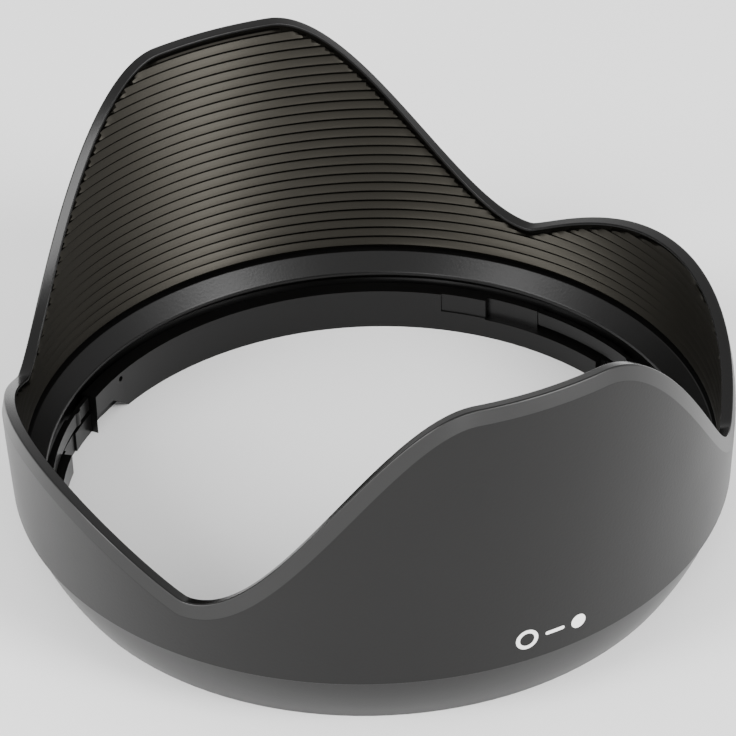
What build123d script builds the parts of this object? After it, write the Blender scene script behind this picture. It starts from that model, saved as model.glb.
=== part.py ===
from build123d import *
from math import cos, radians, sin
import os

os.makedirs("parts", exist_ok=True)

# The hood stands on its rear ring: the optical axis is Z, the rear face is z = 0,
# the long petals are at +Y and -Y and the short petals at +X and -X.

# ---------------------------------------------------------------- driving sizes, mm and degrees

# rear ring
bore_radius = 40.3  # bayonet wall that slips over the lens barrel
bayonet_wall = 2.1  # radial thickness of that wall
bayonet_height = 5.9  # rear face to the top of the wall
foot_width = 1.8  # width of the flat rear face
band_bulge = 0.35  # how far the outer band bows out from a straight taper
band_set_in = 0.35  # step from the shell's skin in to the band, at the seam

# petal shell
seam_rise = 2.4  # top of the bayonet wall to the foot of the shell's skin
body_thickness = 5.8  # bore to the shell's skin, at the seam
flare = 0.95  # how much wider the skin is at the long petal's tip
wall = 1.9  # skin to the rib tips
long_petal_height = 47.2
short_petal_height = 24.9
valley_height = 16.8
plateau_angle = 10.1  # half width of the long petal's flat top
valley_angle = 55.2  # from the long petal's axis to the valley
short_petal_roundness = 0.62  # under 1 makes the valley tight and the short petal broad

# rim
land_width = 1.4  # flat top of the rim
land_tilt = 12.0  # the land leans in towards the axis
rim_bevel_height = 1.9  # outer bevel below the land

# light trap
rib_pitch = 1.44
rib_slot = 0.3  # height of the slot between two ribs
rib_slot_depth = 0.5
rib_rise = 0.25  # how far each rib's face leans out over its height

# smooth cone and lip at the foot of the light trap
lip_gap = 1.5  # top of the bayonet wall to the underside of the lip
lip_set_back = 1.6  # bore to the lip's inner face
lip_face = 0.6  # height of that face
cone_rise = 2.8  # underside of the lip to the top of the cone
cone_step = 0.2  # how far the cone's top stands in from the rib tips
throat_groove = 0.85  # height of the dark groove above the cone

# joint between shell and ring
collar_thickness = 1.0
collar_rise = 0.8  # how far the collar stands up inside the shell
bond_gap = 0.1  # room for the bond on each face of the collar
skirt_thickness = 1.2  # shell skin outside the collar
pocket_depth = 2.9  # hollow behind the bayonet wall, from its top
pocket_width = 0.4  # width of the hollow's floor

# bayonet, three groups whose spacing is unequal so that the hood seats one way round
group_angles = (0.0, 127.5, 244.0)
notch_start = -8.5
notch_ramp = 4.5  # the notch's first edge climbs over this angle
notch_end = 2.0
notch_height = 2.65
notch_depth = 1.6
entry_end = 15.0
entry_depth = 1.05
entry_step_start = 8.5
entry_step_end = 14.0
entry_step_depth = 1.3
channel_floor = 2.9  # top of the lower lip
channel_depth = 1.0
channel_run = 11.0  # the channel goes on past the arm's hinge by this angle
relief_run = 9.0  # and the shallow relief goes on from there
relief_depth = 0.2
relief_step = 0.2  # floor of the relief above the channel's floor
pin_hole_angle = -6.8
pin_hole_diameter = 0.8
pin_hole_depth = 0.6
pin_hole_drop = 0.9  # hole's centre below the top of the wall

# click arms
arm_root = 30.0  # hinge
arm_thickness = 0.9
arm_end_gap = 0.4  # angle between the notch and the arm's free end
arm_slot = 0.9  # open height under the arm
arm_sink = 0.1  # arm's top below the top of the wall
arm_back_room = 0.3  # open space behind the arm
arm_thin_run = 7.6  # the arm is thinner for this angle from its free end
arm_thinning = 0.35
arm_clearance = 0.08  # round the hinge end, in its seat
bump_run = 4.6  # free end to the click bump
bump_height = 0.25
bump_diameter = 2.2

# printed mark
mark_centre_angle = -88.6
mark_rise = 3.45  # seam to the middle of the mark
mark_stroke = 0.5
mark_dot = 2.0
mark_ring = 2.9
mark_dash = 2.6
mark_gap = 1.0
ink = 0.04
mark_spread = 9.0  # half angle of the film that the mark is cut from

# ---------------------------------------------------------------- shapes worked out from them

past = 1.0  # how far a cutter runs past what it cuts
rim_reach = 2.0  # how far the rim's cutter reaches in from the rib tips
sleeve_margin = 0.5  # stock left inside the rib tips until the core is cut
blank_top = long_petal_height + past
seam_height = bayonet_height + seam_rise
seam_radius = bore_radius + body_thickness
skin_spans = 4  # spans of the skin's curve, from seam to top
rim_samples = 28  # spans of the rim's curve between the flat tops of the two long petals


def skin_radius(z):
    """Outer radius of the shell at height z: widens fast above the seam, then slowly."""
    up = (z - seam_height) / (blank_top - seam_height)
    return seam_radius + flare * (1 - (1 - up) ** 2)


def rib_radius(z):
    """Radius of the rib tips, and of the rim land's inner edge."""
    return skin_radius(z) - wall


def rim_height(angle):
    """Height of the rim, at an angle measured from a long petal's axis."""
    from_long = abs((angle + 90) % 180 - 90)
    if from_long < valley_angle:
        petal = long_petal_height
        share = min(1.0, (valley_angle - from_long) / (valley_angle - plateau_angle))
    else:
        petal = short_petal_height
        share = ((from_long - valley_angle) / (90 - valley_angle)) ** short_petal_roundness
    return valley_height + (petal - valley_height) * share * share * (3 - 2 * share)


def polar(radius, angle, z=0.0):
    """Point at a radius, an angle about the axis and a height."""
    return (radius * cos(radians(angle)), radius * sin(radians(angle)), z)


def rim_curve(side, radius_at, shift):
    """The rim from one long petal's flat top to the other's: a radius for each height, and a shift."""
    run = 180 - 2 * plateau_angle
    shares = [k / rim_samples for k in range(rim_samples + 1)]
    points = []
    for share in shares:
        z = rim_height(plateau_angle + run * share)
        points.append(Vector(*polar(radius_at(z), side + plateau_angle + run * share, z + shift)))
    speed = radius_at(long_petal_height) * radians(run)
    leaving = Vector(*polar(speed, side + plateau_angle + 90))
    arriving = Vector(*polar(speed, side + 180 - plateau_angle + 90))
    return Edge.make_spline(points, tangents=[leaving, arriving], parameters=shares, scale=False)


def cut_along_rim(inner_radius, inner_shift, outer_radius, outer_shift):
    """Cut away what lies above a sloping strip that follows the rim, given at its two edges."""
    top = blank_top + past + max(inner_shift, outer_shift)
    for side in (-90, 90):
        inner = rim_curve(side, inner_radius, inner_shift)
        outer = rim_curve(side, outer_radius, outer_shift)
        strip = Face.make_surface_from_curves(inner, outer)
        extrude(strip, amount=top, dir=(0, 0, 1), mode=Mode.SUBTRACT)
    # the flat tops of the long petals
    inner_edge = (inner_radius(long_petal_height), long_petal_height + inner_shift)
    outer_edge = (outer_radius(long_petal_height), long_petal_height + outer_shift)
    for petal in (-90, 90):
        with BuildSketch(radial_plane(petal - plateau_angle)) as wedge:
            Polygon(inner_edge, outer_edge, (outer_edge[0], top), (inner_edge[0], top), align=None)
        revolve(wedge.sketch, axis=Axis.Z, revolution_arc=2 * plateau_angle, mode=Mode.SUBTRACT)


def radial_plane(angle):
    """Half plane through the axis: x runs out, y runs up."""
    return Plane(origin=(0, 0, 0), x_dir=polar(1, angle), z_dir=polar(1, angle - 90))


def facing_plane(angle, radius, z=0.0):
    """Plane that faces out at an angle: x runs anticlockwise, y runs up."""
    return Plane(origin=polar(radius, angle, z), x_dir=polar(1, angle + 90), z_dir=polar(1, angle))


def sector(inner, outer, start, end, low, high, mode=Mode.SUBTRACT):
    """Block between two radii, two angles and two heights."""
    with BuildSketch(radial_plane(start)) as block:
        with Locations(((inner + outer) / 2, (low + high) / 2)):
            Rectangle(outer - inner, high - low)
    revolve(block.sketch, axis=Axis.Z, revolution_arc=end - start, mode=mode)


# ---------------------------------------------------------------- petal shell

land_drop = land_width * sin(radians(land_tilt))
bevel_depth = wall - land_width
bevel_slope = rim_bevel_height / bevel_depth
socket_outer = seam_radius - skirt_thickness
socket_inner = socket_outer - collar_thickness - 2 * bond_gap
collar_height = seam_height + collar_rise
socket_top = collar_height + bond_gap
lip_height = bayonet_height + lip_gap
lip_radius = bore_radius + lip_set_back
core_radius = lip_radius - past
sleeve_radius = seam_radius - wall - sleeve_margin
cone_top_height = lip_height + cone_rise
cone_top_radius = seam_radius - wall - cone_step

ribs_start = cone_top_height + throat_groove
rib_count = int((blank_top - ribs_start) / rib_pitch)
throat_radius = rib_radius(ribs_start) + rib_slot_depth

# the open space inside: cone, throat groove, then a slot above each rib's leaning face
space = [(cone_top_radius, cone_top_height), (throat_radius, cone_top_height), (throat_radius, ribs_start)]
for k in range(rib_count):
    foot = ribs_start + k * rib_pitch
    face_top = foot + rib_pitch - rib_slot
    slot_radius = rib_radius(face_top) + rib_slot_depth
    space.append((rib_radius(foot), foot))
    space.append((rib_radius(face_top) + rib_rise, face_top))
    space.append((slot_radius, face_top))
    space.append((slot_radius, foot + rib_pitch))
space.append((rib_radius(blank_top), space[-1][1]))
space.append((rib_radius(blank_top), blank_top + past))

skin = []
for k in range(skin_spans + 1):
    z = seam_height + (blank_top - seam_height) * k / skin_spans
    skin.append((skin_radius(z), z))

with BuildPart() as petal_shell:
    with BuildSketch(Plane.XZ) as blank:
        with BuildLine() as outline:
            Spline(*skin)
            Polyline(
                skin[-1],
                (sleeve_radius, blank_top),
                (sleeve_radius, cone_top_height),
                (core_radius, cone_top_height),
                (core_radius, lip_height),
                (socket_inner, lip_height),
                (socket_inner, socket_top),
                (socket_outer, socket_top),
                (socket_outer, seam_height),
                skin[0],
            )
        make_face()
    revolve(axis=Axis.Z)
    # the petals: everything above the rim's land goes, and the land leans in
    cut_along_rim(
        lambda z: rib_radius(z) - rim_reach,
        -land_drop * (1 + rim_reach / land_width),
        lambda z: skin_radius(z) + past,
        land_drop * (past + bevel_depth) / land_width,
    )
    # outer bevel along the rim
    cut_along_rim(
        lambda z: skin_radius(z) - bevel_depth - past,
        past * bevel_slope,
        lambda z: skin_radius(z) + past,
        -rim_bevel_height - past * bevel_slope,
    )
    # ribs, throat groove, cone and lip
    with BuildSketch(Plane.XZ) as core:
        with BuildLine() as outline:
            Polyline(*space)
            Polyline(
                space[-1],
                (core_radius - past, blank_top + past),
                (core_radius - past, lip_height - past),
                (lip_radius, lip_height - past),
                (lip_radius, lip_height + lip_face),
                space[0],
            )
        make_face()
    revolve(axis=Axis.Z, mode=Mode.SUBTRACT)
petal_shell.part.label = "petal_shell"

# ---------------------------------------------------------------- bayonet ring

wall_outer = bore_radius + bayonet_wall
foot_radius = bore_radius + foot_width
band_top_radius = seam_radius - band_set_in
collar_outer = socket_outer - bond_gap
collar_inner = collar_outer - collar_thickness
band_middle = ((foot_radius + band_top_radius) / 2 + band_bulge, seam_height / 2)
pocket_floor = bayonet_height - pocket_depth
channel_radius = bore_radius + channel_depth
channel_end = arm_root + channel_run
arm_middle = channel_radius + arm_thickness / 2
arm_outer = channel_radius + arm_thickness
above_wall = bayonet_height + past

with BuildPart() as bayonet_ring:
    with BuildSketch(Plane.XZ) as section:
        with BuildLine() as outline:
            Polyline(
                (foot_radius, 0),
                (bore_radius, 0),
                (bore_radius, bayonet_height),
                (wall_outer, bayonet_height),
                (wall_outer, pocket_floor),
                (wall_outer + pocket_width, pocket_floor),
                (collar_inner, bayonet_height),
                (collar_inner, collar_height),
                (collar_outer, collar_height),
                (collar_outer, seam_height),
                (band_top_radius, seam_height),
            )
            ThreePointArc((band_top_radius, seam_height), band_middle, (foot_radius, 0))
        make_face()
    revolve(axis=Axis.Z)
    for base in group_angles:
        # notch in the wall's lower edge: a ramp, then level
        ramp_run = bore_radius * radians(notch_ramp)
        notch_middle = (notch_start + notch_end) / 2
        notch_run = bore_radius * radians(notch_end - notch_start)
        with BuildSketch(facing_plane(base + notch_middle, bore_radius - past)) as notch:
            with BuildLine() as outline:
                Polyline(
                    (-notch_run / 2, 0),
                    (-notch_run / 2 + ramp_run, notch_height),
                    (notch_run / 2, notch_height),
                    (notch_run / 2, -past),
                    (-notch_run / 2, -past),
                    close=True,
                )
            make_face()
        extrude(amount=notch_depth + past, mode=Mode.SUBTRACT)
        # entry for the lens lug: the whole height of the wall, with a deeper step low down
        entry = (base + notch_end, base + entry_end)
        sector(bore_radius - past, bore_radius + entry_depth, *entry, -past, above_wall)
        step = (base + entry_step_start, base + entry_step_end)
        sector(bore_radius - past, bore_radius + entry_step_depth, *step, -past, channel_floor)
        # channel above the lower lip, and the shallow relief past its end
        channel = (base + entry_end, base + channel_end)
        sector(bore_radius - past, channel_radius, *channel, channel_floor, above_wall)
        relief = (base + channel_end, base + channel_end + relief_run)
        relief_floor = channel_floor + relief_step
        sector(bore_radius - past, bore_radius + relief_depth, *relief, relief_floor, above_wall)
        # room for the click arm, with a round seat for its root
        arm_room = (base + notch_end, base + arm_root)
        sector(bore_radius - past, arm_outer + arm_back_room, *arm_room, channel_floor, above_wall)
        with Locations(polar(arm_middle, base + arm_root, channel_floor)):
            Cylinder(
                arm_thickness / 2 + arm_clearance,
                above_wall - channel_floor,
                align=(Align.CENTER, Align.CENTER, Align.MIN),
                mode=Mode.SUBTRACT,
            )
        # small blind hole near the top of the wall
        with Locations(facing_plane(base + pin_hole_angle, bore_radius, bayonet_height - pin_hole_drop)):
            Cylinder(pin_hole_diameter / 2, 2 * pin_hole_depth, mode=Mode.SUBTRACT)
bayonet_ring.part.label = "bayonet_ring"

# ---------------------------------------------------------------- click arms

arm_start = notch_end + arm_end_gap
arm_bottom = channel_floor + arm_slot
arm_top = bayonet_height - arm_sink
bump_middle = channel_radius - bump_height + bump_diameter / 2

click_arms = []
for number, base in enumerate(group_angles, start=1):
    with BuildPart() as click_arm:
        strip = (base + arm_start, base + arm_root)
        sector(channel_radius, arm_outer, *strip, arm_bottom, arm_top, mode=Mode.ADD)
        # root, round about the hinge axis, and the click bump
        with Locations(polar(arm_middle, base + arm_root, arm_bottom)):
            Cylinder(
                arm_thickness / 2,
                arm_top - arm_bottom,
                align=(Align.CENTER, Align.CENTER, Align.MIN),
            )
        with Locations(polar(bump_middle, base + arm_start + bump_run, arm_bottom)):
            Cylinder(
                bump_diameter / 2,
                arm_top - arm_bottom,
                align=(Align.CENTER, Align.CENTER, Align.MIN),
            )
        # the free end is thinned from behind, which also takes off the back of the bump
        thin = (base + arm_start, base + arm_start + arm_thin_run)
        sector(arm_outer - arm_thinning, arm_outer + bump_diameter, *thin, arm_bottom, arm_top)
    click_arm.part.label = f"click_arm_{number}"
    click_arms.append(click_arm)

# ---------------------------------------------------------------- printed mark: ring, dash and dot

mark_width = mark_ring + mark_dash + mark_dot + 2 * mark_gap
mark_height = seam_height + mark_rise
film = [(r + ink, z) for r, z in skin]

with BuildPart() as index_mark:
    with BuildSketch(radial_plane(mark_centre_angle - mark_spread)) as layer:
        with BuildLine() as outline:
            Spline(*skin)
            Line(skin[-1], film[-1])
            Spline(*film)
            Line(film[0], skin[0])
        make_face()
    revolve(axis=Axis.Z, revolution_arc=2 * mark_spread)
    with BuildSketch(facing_plane(mark_centre_angle, bore_radius)) as glyphs:
        with Locations((-mark_width / 2 + mark_ring / 2, mark_height)):
            Circle(mark_ring / 2)
            Circle(mark_ring / 2 - mark_stroke, mode=Mode.SUBTRACT)
        with Locations((-mark_width / 2 + mark_ring + mark_gap + mark_dash / 2, mark_height)):
            SlotOverall(mark_dash, mark_stroke)
        with Locations((mark_width / 2 - mark_dot / 2, mark_height)):
            Circle(mark_dot / 2)
    extrude(amount=seam_radius - bore_radius + flare + past, mode=Mode.INTERSECT)
index_mark.part.label = "index_mark"

for piece in (petal_shell, bayonet_ring, *click_arms, index_mark):
    export_step(piece.part, f"parts/{piece.part.label}.step")
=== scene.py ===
# %% [markdown]
# A petal lens hood in black moulded plastic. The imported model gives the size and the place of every
# part; this script gives the looks. Each step below says what a piece is on the real hood and why it
# is made the way it is.

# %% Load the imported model
import math

import bmesh
import bpy
from mathutils import Matrix, Vector


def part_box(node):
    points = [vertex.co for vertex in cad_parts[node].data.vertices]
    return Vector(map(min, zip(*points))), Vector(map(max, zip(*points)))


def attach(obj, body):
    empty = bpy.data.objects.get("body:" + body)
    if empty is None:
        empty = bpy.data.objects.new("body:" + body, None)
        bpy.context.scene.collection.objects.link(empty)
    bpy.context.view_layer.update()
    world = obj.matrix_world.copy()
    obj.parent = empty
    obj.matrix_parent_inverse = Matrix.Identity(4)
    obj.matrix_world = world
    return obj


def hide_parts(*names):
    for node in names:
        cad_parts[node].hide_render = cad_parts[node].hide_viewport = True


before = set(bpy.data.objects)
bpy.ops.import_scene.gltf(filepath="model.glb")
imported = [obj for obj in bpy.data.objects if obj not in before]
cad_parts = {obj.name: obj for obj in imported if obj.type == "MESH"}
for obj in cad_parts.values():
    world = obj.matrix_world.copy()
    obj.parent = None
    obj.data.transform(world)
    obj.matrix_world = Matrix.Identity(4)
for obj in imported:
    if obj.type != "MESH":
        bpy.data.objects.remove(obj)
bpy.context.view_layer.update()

# %% [markdown]
# Sizes are in metres. The few that the boxes of the parts can't give, such as the outline of the
# petals, are the hood's own design values, written here once.

# %% Sizes of the hood
MM = 0.001
shell_low, shell_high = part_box("petal_shell")
ring_low, ring_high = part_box("bayonet_ring")
print("hood is", round((shell_high[1] - shell_low[1]) / MM, 1), "mm across")
print("ring is", round((ring_high[2] - ring_low[2]) / MM, 1), "mm high")

long_petal_height = 47.2 * MM
short_petal_height = 24.9 * MM
valley_height = 16.8 * MM
plateau_angle = 10.1
valley_angle = 55.2
short_petal_roundness = 0.62

seam_height = 8.3 * MM
seam_radius = 46.1 * MM
flare = 0.95 * MM
blank_top = long_petal_height + 1.0 * MM
wall = 1.9 * MM
land_width = 1.4 * MM
land_tilt = math.radians(12)
land_drop = land_width * math.sin(land_tilt)
rim_bevel_height = 1.9 * MM

# %% [markdown]
# The skin widens quickly above the seam and then slowly, and the rim's height swings round the axis:
# two long petals, two short ones and four valleys. Both are smooth formulas, so every piece that
# follows the skin or the rim can ask for them at any place.

# %% Skin and rim as formulas
def skin_radius(z):
    """Radius of the outer skin at a height."""
    up = (z - seam_height) / (blank_top - seam_height)
    return seam_radius + flare * (1 - (1 - up) ** 2)


def rim_height(angle):
    """Height of the rim at an angle in degrees; the long petals stand at 90 and 270."""
    from_long = abs(angle % 180 - 90)
    if from_long < valley_angle:
        petal = long_petal_height
        share = min(1.0, (valley_angle - from_long) / (valley_angle - plateau_angle))
    else:
        petal = short_petal_height
        share = ((from_long - valley_angle) / (90 - valley_angle)) ** short_petal_roundness
    return valley_height + (petal - valley_height) * share * share * (3 - 2 * share)


print("rim is", [round(rim_height(a) / MM, 1) for a in (0, 30, 60, 90)], "mm high at 0, 30, 60, 90")

# %% [markdown]
# The bevel and the groove keep their width measured square to the rim, as a cutter run along it would
# leave them. Where the rim slopes, a vertical measure of the same band is longer, and this factor says
# by how much.

# %% How far the rim slopes
slope_step = 0.25
steepest_stretch = 3.0


def rim_stretch(angle):
    """How much longer a vertical cut is than a square one where the rim slopes."""
    run = seam_radius * math.radians(2 * slope_step)
    slope = (rim_height(angle + slope_step) - rim_height(angle - slope_step)) / run
    return min(steepest_stretch, math.sqrt(1 + slope * slope))


def angle_of(point):
    """Angle of a point round the axis, in degrees."""
    return math.degrees(math.atan2(point.y, point.x))


# %% [markdown]
# Most of the hood is turned: a closed outline swept round the axis. The outline starts as a few
# vertices and edges. Its corners are rounded with a vertex bevel before the sweep, because a moulded
# edge always has a small radius, and that radius is what catches the light.

# %% Helpers that turn an outline into a solid
merge_distance = 0.001 * MM


def outline(points):
    """A closed outline in the XZ plane, as a bmesh of vertices and edges."""
    bm = bmesh.new()
    corners = [bm.verts.new((r, 0, z)) for r, z in points]
    for a, b in zip(corners, corners[1:] + corners[:1]):
        bm.edges.new((a, b))
    return bm, corners


def round_corners(bm, corners, radius, segments=3):
    """Rounds corners of an outline."""
    bmesh.ops.bevel(
        bm,
        geom=corners,
        offset=radius,
        affect="VERTICES",
        segments=segments,
        profile=0.5,
        material=-1,
    )


def turn(bm, steps):
    """Sweeps everything in the bmesh once round the axis."""
    bmesh.ops.spin(
        bm,
        geom=bm.verts[:] + bm.edges[:],
        cent=(0, 0, 0),
        axis=(0, 0, 1),
        angle=math.radians(360),
        steps=steps,
        use_merge=True,
    )
    bmesh.ops.remove_doubles(bm, verts=bm.verts[:], dist=merge_distance)
    bmesh.ops.recalc_face_normals(bm, faces=bm.faces[:])


# %% [markdown]
# A finished mesh is shaded smooth, with its real edges kept sharp. The normals are then weighted by
# face area, so a wide flat band stays flat up to the small radius beside it.

# %% Helper that finishes a piece
def finish_piece(bm, name, smooth_angle=35.0):
    """Writes a bmesh into a new object with smooth faces and sharp real edges."""
    mesh = bpy.data.meshes.new(name)
    bm.to_mesh(mesh)
    bm.free()
    piece = bpy.data.objects.new(name, mesh)
    bpy.context.scene.collection.objects.link(piece)
    mesh.polygons.foreach_set("use_smooth", [True] * len(mesh.polygons))
    mesh.set_sharp_from_angle(angle=math.radians(smooth_angle))
    even = piece.modifiers.new("flat_faces_stay_flat", "WEIGHTED_NORMAL")
    even.keep_sharp = True
    print(name, len(mesh.vertices), "vertices", len(mesh.polygons), "faces")
    return piece


# %% [markdown]
# The shell is one moulding, drawn here as the section of a blank with a level rim: skin, bevel, land
# and lip outside and on top, then the inside wall, the cone, the throat's lip and the socket that
# takes the ring's collar. The inside wall is set at the depth of the rib slots, so what stays bare
# under the rim's lip is the groove that follows the rim, dark from its own shade and from painted
# shade.

# %% Sizes of the shell's section
ROUND_STEPS = 480
slot_depth = 0.8 * MM
rim_lip = 0.3 * MM
groove_height = 0.8 * MM

lip_height = 7.4 * MM
lip_edge_height = 0.6 * MM
lip_radius = 41.9 * MM
cone_top_height = 10.2 * MM
cone_top_radius = seam_radius - wall - 0.2 * MM
ribs_start = cone_top_height + 0.85 * MM
socket_outer = seam_radius - 1.2 * MM
socket_inner = socket_outer - 1.2 * MM
socket_top = 9.2 * MM

rim_zone = 3.2 * MM
bevel_foot = long_petal_height - rim_bevel_height
lip_under = long_petal_height - land_drop - rim_lip
rim_inner = skin_radius(long_petal_height) - wall
rim_outer = rim_inner + land_width
inner_face = rim_inner + slot_depth

# %% [markdown]
# The skin and the inside wall are curved, so both are drawn through the same row of levels. The
# rounded corners are the edges that show: the bevel's foot, both edges of the land, and the cone and
# lip at the throat.

# %% The blank of the shell
wall_steps = 9
level_gap = (bevel_foot - rim_zone - seam_height) / wall_steps
wall_levels = [seam_height + level_gap * k for k in range(1, wall_steps + 1)]


def inner_radius(z):
    """Radius of the inside wall, behind the ribs."""
    return skin_radius(z) - wall + slot_depth


skin_points = [(skin_radius(z), z) for z in [seam_height] + wall_levels]
rim_points = [
    (skin_radius(bevel_foot), bevel_foot),
    (rim_outer, long_petal_height),
    (rim_inner, long_petal_height - land_drop),
    (rim_inner, lip_under),
    (inner_face, lip_under),
]
inside_points = [(inner_radius(z), z) for z in reversed(wall_levels[1:])]
throat_points = [
    (inner_radius(cone_top_height), cone_top_height),
    (cone_top_radius, cone_top_height),
    (lip_radius, lip_height + lip_edge_height),
    (lip_radius, lip_height),
]
socket_points = [
    (socket_inner, lip_height),
    (socket_inner, socket_top),
    (socket_outer, socket_top),
    (socket_outer, seam_height),
]
shell, corners = outline(skin_points + rim_points + inside_points + throat_points + socket_points)
seam_edge = corners[0]
bevel_edge, land_outer, land_inner = corners[wall_steps + 1 : wall_steps + 4]
cone_edge, lip_top, lip_bottom = corners[-7:-4]
round_corners(shell, [seam_edge], 0.12 * MM)
round_corners(shell, [bevel_edge], 0.10 * MM)
round_corners(shell, [land_outer], 0.22 * MM, 4)
round_corners(shell, [land_inner], 0.12 * MM)
round_corners(shell, [cone_edge], 0.10 * MM)
round_corners(shell, [lip_top, lip_bottom], 0.22 * MM, 4)
turn(shell, ROUND_STEPS)
print("shell blank has", len(shell.faces), "faces")

# %% [markdown]
# The shell wears four finishes, and a face of the blank is easy to tell by its place: the bevel is
# the tilted band outside below the rim, the land is the flat top, and the cavity is the wall behind
# the ribs, which wears painted shade. They are told apart here, while the rim is still level.

# %% Which faces wear which finish
# The cavity faces take the painted shade material.
SKIN, LAND, CAVITY, BEVEL = range(4)
bevel_depth = 0.6 * MM
cavity_depth = 0.9 * MM
lowest_tilt, highest_tilt = 0.15, 0.8
nearly_flat = 0.9

shell.normal_update()
for f in shell.faces:
    middle = f.calc_center_median()
    depth_in_wall = skin_radius(middle.z) - math.hypot(middle.x, middle.y)
    tilted = lowest_tilt < f.normal.z < highest_tilt
    if middle.z > bevel_foot and depth_in_wall < bevel_depth and tilted:
        f.material_index = BEVEL
    elif middle.z > lip_under and f.normal.z > nearly_flat:
        f.material_index = LAND
    elif ribs_start < middle.z < lip_under and depth_in_wall > cavity_depth:
        f.material_index = CAVITY
for index, finish in enumerate(("skin", "land", "cavity", "bevel")):
    print(finish, sum(f.material_index == index for f in shell.faces), "faces")

# %% [markdown]
# Every vertex above the foot now moves down to the wavy rim. The rim's own details, within the rim
# zone, keep their height, and the wall between foot and zone is what gets shorter. The bevel's foot
# and the underside of the lip go a little further where the rim slopes.

# %% The wavy rim
fixed_below = 12.0 * MM
zone_foot = long_petal_height - rim_zone
lip_reach = 0.02 * MM
bevel_reach = 0.2 * MM


def lowered_height(z, drop):
    """New height of a point when the rim above it drops."""
    if z > zone_foot:
        return z - drop
    shrink = (zone_foot - drop - fixed_below) / (zone_foot - fixed_below)
    return fixed_below + (z - fixed_below) * shrink


for v in shell.verts:
    if v.co.z > fixed_below:
        angle = angle_of(v.co)
        z = v.co.z
        r = math.hypot(v.co.x, v.co.y)
        lowered = lowered_height(z, long_petal_height - rim_height(angle))
        if abs(z - lip_under) < lip_reach and r > rim_inner - lip_reach:
            lowered -= rim_lip * (rim_stretch(angle) - 1)
        if abs(z - bevel_foot) < bevel_reach and r > skin_radius(z) - bevel_reach:
            lowered -= rim_bevel_height * (rim_stretch(angle) - 1)
        scale = (r + skin_radius(lowered) - skin_radius(z)) / r
        v.co = (v.co.x * scale, v.co.y * scale, lowered)
bmesh.ops.recalc_face_normals(shell, faces=shell.faces[:])
petal_shell = finish_piece(shell, "petal_shell_moulding")
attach(petal_shell, "root")
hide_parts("petal_shell")

# %% [markdown]
# The light trap is a stack of thin ribs. Each rib's face leans back, so it sends light up and out of
# the hood, and the slot under the next rib stays in shade; the wall at the back of the slot also wears
# painted shade. Each is turned as its own ring and then trimmed: no vertex may stand above the foot of
# the groove under the rim, and the stretches that this flattens to nothing are deleted and their open
# ends filled.

# %% Helpers for the ribs
rib_pitch = 1.44 * MM
rib_slot = 0.6 * MM
rib_rise = 0.55 * MM
belly = 0.4
embed = 0.06 * MM
thinnest_rib = 0.03 * MM
groove_reach = 0.05 * MM
RIB_FACE, RIB_CUT = range(2)


def groove_foot(angle):
    """Height where the groove under the rim ends and the ribs may begin."""
    return rim_height(angle) - land_drop - (rim_lip + groove_height) * rim_stretch(angle)


def turned_rib(foot):
    """One rib as a full ring: a slightly bellied face that leans back, and a flat top."""
    top = foot + rib_pitch - rib_slot
    middle = foot + 0.5 * (top - foot)
    tip = skin_radius(foot) - wall
    back = inner_radius(top) + embed
    section = [
        (tip, foot),
        (tip + belly * rib_rise, middle),
        (tip + rib_rise, top),
        (back, top),
        (back, foot),
    ]
    rib, _ = outline(section)
    turn(rib, ROUND_STEPS)
    return rib


def trim_rib(rib, foot):
    """Cuts a rib down to the groove's foot and marks the cut faces."""
    for v in rib.verts:
        v.co.z = max(foot, min(v.co.z, groove_foot(angle_of(v.co))))
    thin = [f for f in rib.faces if max(v.co.z for v in f.verts) - foot < thinnest_rib]
    thin = set(thin)
    gone = [v for v in rib.verts if all(f in thin for f in v.link_faces)]
    bmesh.ops.delete(rib, geom=gone, context="VERTS")
    bmesh.ops.holes_fill(rib, edges=[e for e in rib.edges if e.is_boundary], sides=8)
    # The cut faces later wear the cavity's painted shade.
    for f in rib.faces:
        if all(v.co.z >= groove_foot(angle_of(v.co)) - groove_reach for v in f.verts):
            f.material_index = RIB_CUT


# %% [markdown]
# The ribs are stacked from the cone up to the top of the long petals, and joined into one piece,
# because on the real hood they are cut in the same moulding.

# %% The ribs of the light trap
ribs = bmesh.new()
rib_count = int((long_petal_height - ribs_start) / rib_pitch)
for k in range(rib_count):
    foot = ribs_start + k * rib_pitch
    rib = turned_rib(foot)
    trim_rib(rib, foot)
    part = bpy.data.meshes.new("rib")
    rib.to_mesh(part)
    rib.free()
    ribs.from_mesh(part)
    bpy.data.meshes.remove(part)
bmesh.ops.recalc_face_normals(ribs, faces=ribs.faces[:])
print(rib_count, "ribs")
light_trap = finish_piece(ribs, "light_trap_ribs", 25.0)
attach(light_trap, "root")

# %% [markdown]
# The plastics are all the same black resin with different tool finishes. The base is nearly black,
# and what tells them apart is how rough each is, how strongly it mirrors and how fine its grain is;
# the ribs' base is also lifted with painted light, and the cavity's base is darkened as painted shade.
# One noise makes the grain and a slow one makes the tone and the roughness drift a little.

# %% Plastic materials
grain_strength = 0.35
cloud_scale = 60.0
roughness_drift = 0.05
tone_drift = 0.15


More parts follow.
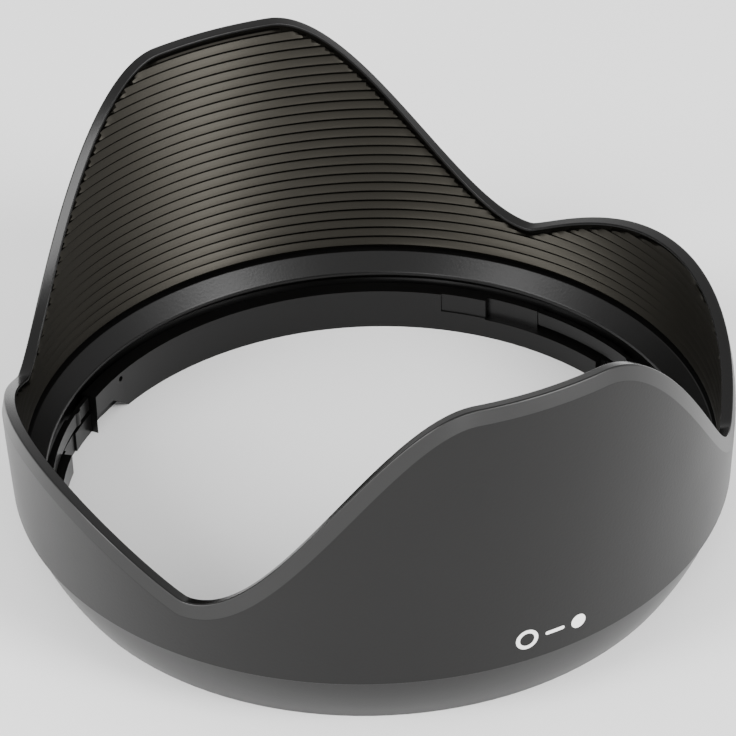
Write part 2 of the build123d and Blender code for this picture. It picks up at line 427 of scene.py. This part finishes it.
def plastic(name, colour, roughness, grain_scale, grain_depth, specular=0.25, tint=(1, 1, 1)):
    """A moulded plastic with a fine grain and a faint drift of tone."""
    material = bpy.data.materials.new(name)
    material.use_nodes = True
    nodes = material.node_tree.nodes
    links = material.node_tree.links
    shader = nodes["Principled BSDF"]
    shader.inputs["Specular IOR Level"].default_value = specular
    shader.inputs["Specular Tint"].default_value = (*tint, 1)
    place = nodes.new("ShaderNodeTexCoord")
    grain = nodes.new("ShaderNodeTexNoise")
    grain.inputs["Scale"].default_value = grain_scale
    grain.inputs["Detail"].default_value = 3.0
    bump = nodes.new("ShaderNodeBump")
    bump.inputs["Strength"].default_value = grain_strength
    bump.inputs["Distance"].default_value = grain_depth
    cloud = nodes.new("ShaderNodeTexNoise")
    cloud.inputs["Scale"].default_value = cloud_scale
    shade = nodes.new("ShaderNodeMapRange")
    shade.inputs["To Min"].default_value = roughness - roughness_drift
    shade.inputs["To Max"].default_value = roughness + roughness_drift
    tone = nodes.new("ShaderNodeMix")
    tone.data_type = "RGBA"
    tone.inputs["A"].default_value = (*[(1 - tone_drift) * c for c in colour], 1)
    tone.inputs["B"].default_value = (*[(1 + tone_drift) * c for c in colour], 1)
    links.new(place.outputs["Object"], grain.inputs["Vector"])
    links.new(place.outputs["Object"], cloud.inputs["Vector"])
    links.new(grain.outputs["Fac"], bump.inputs["Height"])
    links.new(cloud.outputs["Fac"], shade.inputs["Value"])
    links.new(cloud.outputs["Fac"], tone.inputs["Factor"])
    links.new(tone.outputs["Result"], shader.inputs["Base Color"])
    links.new(shade.outputs["Result"], shader.inputs["Roughness"])
    links.new(bump.outputs["Normal"], shader.inputs["Normal"])
    return material


# %% [markdown]
# The skin is a fine matte and the bevel below the rim mirrors more. The land on top is smoother. The
# ribs wear a warm-tinted black a little lighter than the resin, which is painted light, and the cavity
# behind them wears a darker black that hardly mirrors, which is painted shade. The ring and its arms
# are satin. The index mark is printed in white ink.

# %% The finishes
warm = (1.0, 0.94, 0.80)
black = (0.003, 0.0029, 0.0028)
# painted light: a lighter, warm-tinted black than the resin, for the light the ribs catch
painted_light_trap_black = (0.004, 0.0037, 0.0030)
# painted shade: a darker black than the resin, for the groove under the rim and the slots behind the
# ribs
painted_shade_black = (0.002, 0.0019, 0.0016)
ink_white = (0.80, 0.80, 0.78)
fine_grain = 2600
coarse_depth, middle_depth, slight_depth = 0.03 * MM, 0.02 * MM, 0.01 * MM

shell_plastic = plastic("shell_plastic", black, 0.34, fine_grain, coarse_depth)
bevel_plastic = plastic("bevel_plastic", black, 0.34, fine_grain, slight_depth, 0.42)
land_plastic = plastic("land_plastic", black, 0.22, fine_grain, slight_depth)
# painted light: the ribs' base is lifted above the resin's black to stand in for the light they catch
painted_light_trap_plastic = plastic("painted_light_trap_plastic", painted_light_trap_black, 0.38, fine_grain, middle_depth, 0.25, warm)
# painted shade: darker than the resin and hardly mirroring, so the groove and the slot walls read dark
painted_shade_cavity_plastic = plastic("painted_shade_cavity_plastic", painted_shade_black, 0.8, fine_grain, middle_depth, 0.05, warm)
ring_plastic = plastic("ring_plastic", black, 0.3, fine_grain, slight_depth)
arm_plastic = plastic("arm_plastic", black, 0.3, fine_grain, slight_depth)
mark_ink = plastic("mark_ink", ink_white, 0.45, 5000, slight_depth, 0.5)

# %% [markdown]
# The new pieces take their finishes in the order of the face numbers given above. The ring, the
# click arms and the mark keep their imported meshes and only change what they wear.

# %% Who wears which finish
def dress(piece, *materials):
    """Gives a new piece its finishes, in the order of its face numbers."""
    for material in materials:
        piece.data.materials.append(material)
    print(piece.name, "wears", [m.name for m in piece.data.materials])


# The shell's cavity and the ribs' cut ends wear painted shade; the rib faces wear painted light.
dress(petal_shell, shell_plastic, land_plastic, painted_shade_cavity_plastic, bevel_plastic)
dress(light_trap, painted_light_trap_plastic, painted_shade_cavity_plastic)
packed_finishes = {
    "bayonet_ring": ring_plastic,
    "click_arm_1": arm_plastic,
    "click_arm_2": arm_plastic,
    "click_arm_3": arm_plastic,
    "index_mark": mark_ink,
}
for node, material in packed_finishes.items():
    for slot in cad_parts[node].material_slots:
        slot.material = material

# %% [markdown]
# The camera looks down at the hood over its front petal from a long way off, through a long lens,
# so the near and far petals keep nearly the same scale.

# %% Camera
def direction(azimuth, elevation):
    """Unit vector towards a place round the hood, both angles in degrees."""
    flat = math.cos(math.radians(elevation))
    return Vector(
        (
            flat * math.cos(math.radians(azimuth)),
            flat * math.sin(math.radians(azimuth)),
            math.sin(math.radians(elevation)),
        )
    )


camera_azimuth = -115.25
camera_elevation = 35.401
camera_distance = 453.43 * MM
aim = Vector((-0.10, 0.05, 21.56)) * MM
roll = math.radians(1.768)

camera_data = bpy.data.cameras.new("camera")
camera_data.lens = 175.1
camera_data.sensor_width = 36.0
camera_data.clip_start = 0.01
camera = bpy.data.objects.new("camera", camera_data)
bpy.context.scene.collection.objects.link(camera)
view = direction(camera_azimuth, camera_elevation)
spot = aim + camera_distance * view
look = (-view).to_track_quat("-Z", "Y").to_matrix().to_4x4()
camera.matrix_world = Matrix.Translation(spot) @ look @ Matrix.Rotation(-roll, 4, "Z")
bpy.context.scene.camera = camera
print("camera stands at", [round(c, 3) for c in spot])

# %% [markdown]
# A plain pale floor under an even room light. The room fills the shadows, and the floor is what the
# upright skin of the hood mirrors towards the camera.

# %% Floor and room
floor_mesh = bpy.data.meshes.new("floor")
bm = bmesh.new()
bmesh.ops.create_grid(bm, x_segments=1, y_segments=1, size=3.0)
bm.to_mesh(floor_mesh)
bm.free()
floor = bpy.data.objects.new("floor", floor_mesh)
bpy.context.scene.collection.objects.link(floor)
floor_paint = bpy.data.materials.new("floor_paint")
floor_paint.use_nodes = True
floor_shader = floor_paint.node_tree.nodes["Principled BSDF"]
floor_shader.inputs["Base Color"].default_value = (0.95, 0.95, 0.95, 1)
floor_shader.inputs["Roughness"].default_value = 0.9
floor_mesh.materials.append(floor_paint)

world = bpy.data.worlds.new("room")
bpy.context.scene.world = world
world.use_nodes = True
background = world.node_tree.nodes["Background"]
background.inputs["Color"].default_value = (1, 1, 1, 1)
background.inputs["Strength"].default_value = 1.1

# %% [markdown]
# Two soft lamps stand above the hood, left and right: each puts one bright lobe on the ribs and on
# the cone. Four low ones stand round the front, where the bevel below the rim mirrors them and the
# upright skin doesn't, so the rim reads as a lighter band.

# %% Soft lamps
lamp_distance = 1.2
lamp_width = 0.5
high, low = 39, 14
first_low_azimuth = -180
low_lamp_gap = 40


def softbox(name, azimuth, elevation, power):
    """A round soft lamp that faces the hood."""
    data = bpy.data.lights.new(name, "AREA")
    data.shape = "DISK"
    data.size = lamp_width
    data.energy = power
    light = bpy.data.objects.new(name, data)
    bpy.context.scene.collection.objects.link(light)
    away = direction(azimuth, elevation)
    turn_in = away.to_track_quat("Z", "Y").to_matrix().to_4x4()
    light.matrix_world = Matrix.Translation(lamp_distance * away) @ turn_in
    print(name, "at", [round(c, 2) for c in light.matrix_world.translation])


softbox("right_softbox", -61, high, 11)
softbox("left_softbox", -171, high, 8)
for step in range(4):
    softbox(f"low_softbox_{step + 1}", first_low_azimuth + low_lamp_gap * step, low, 6)
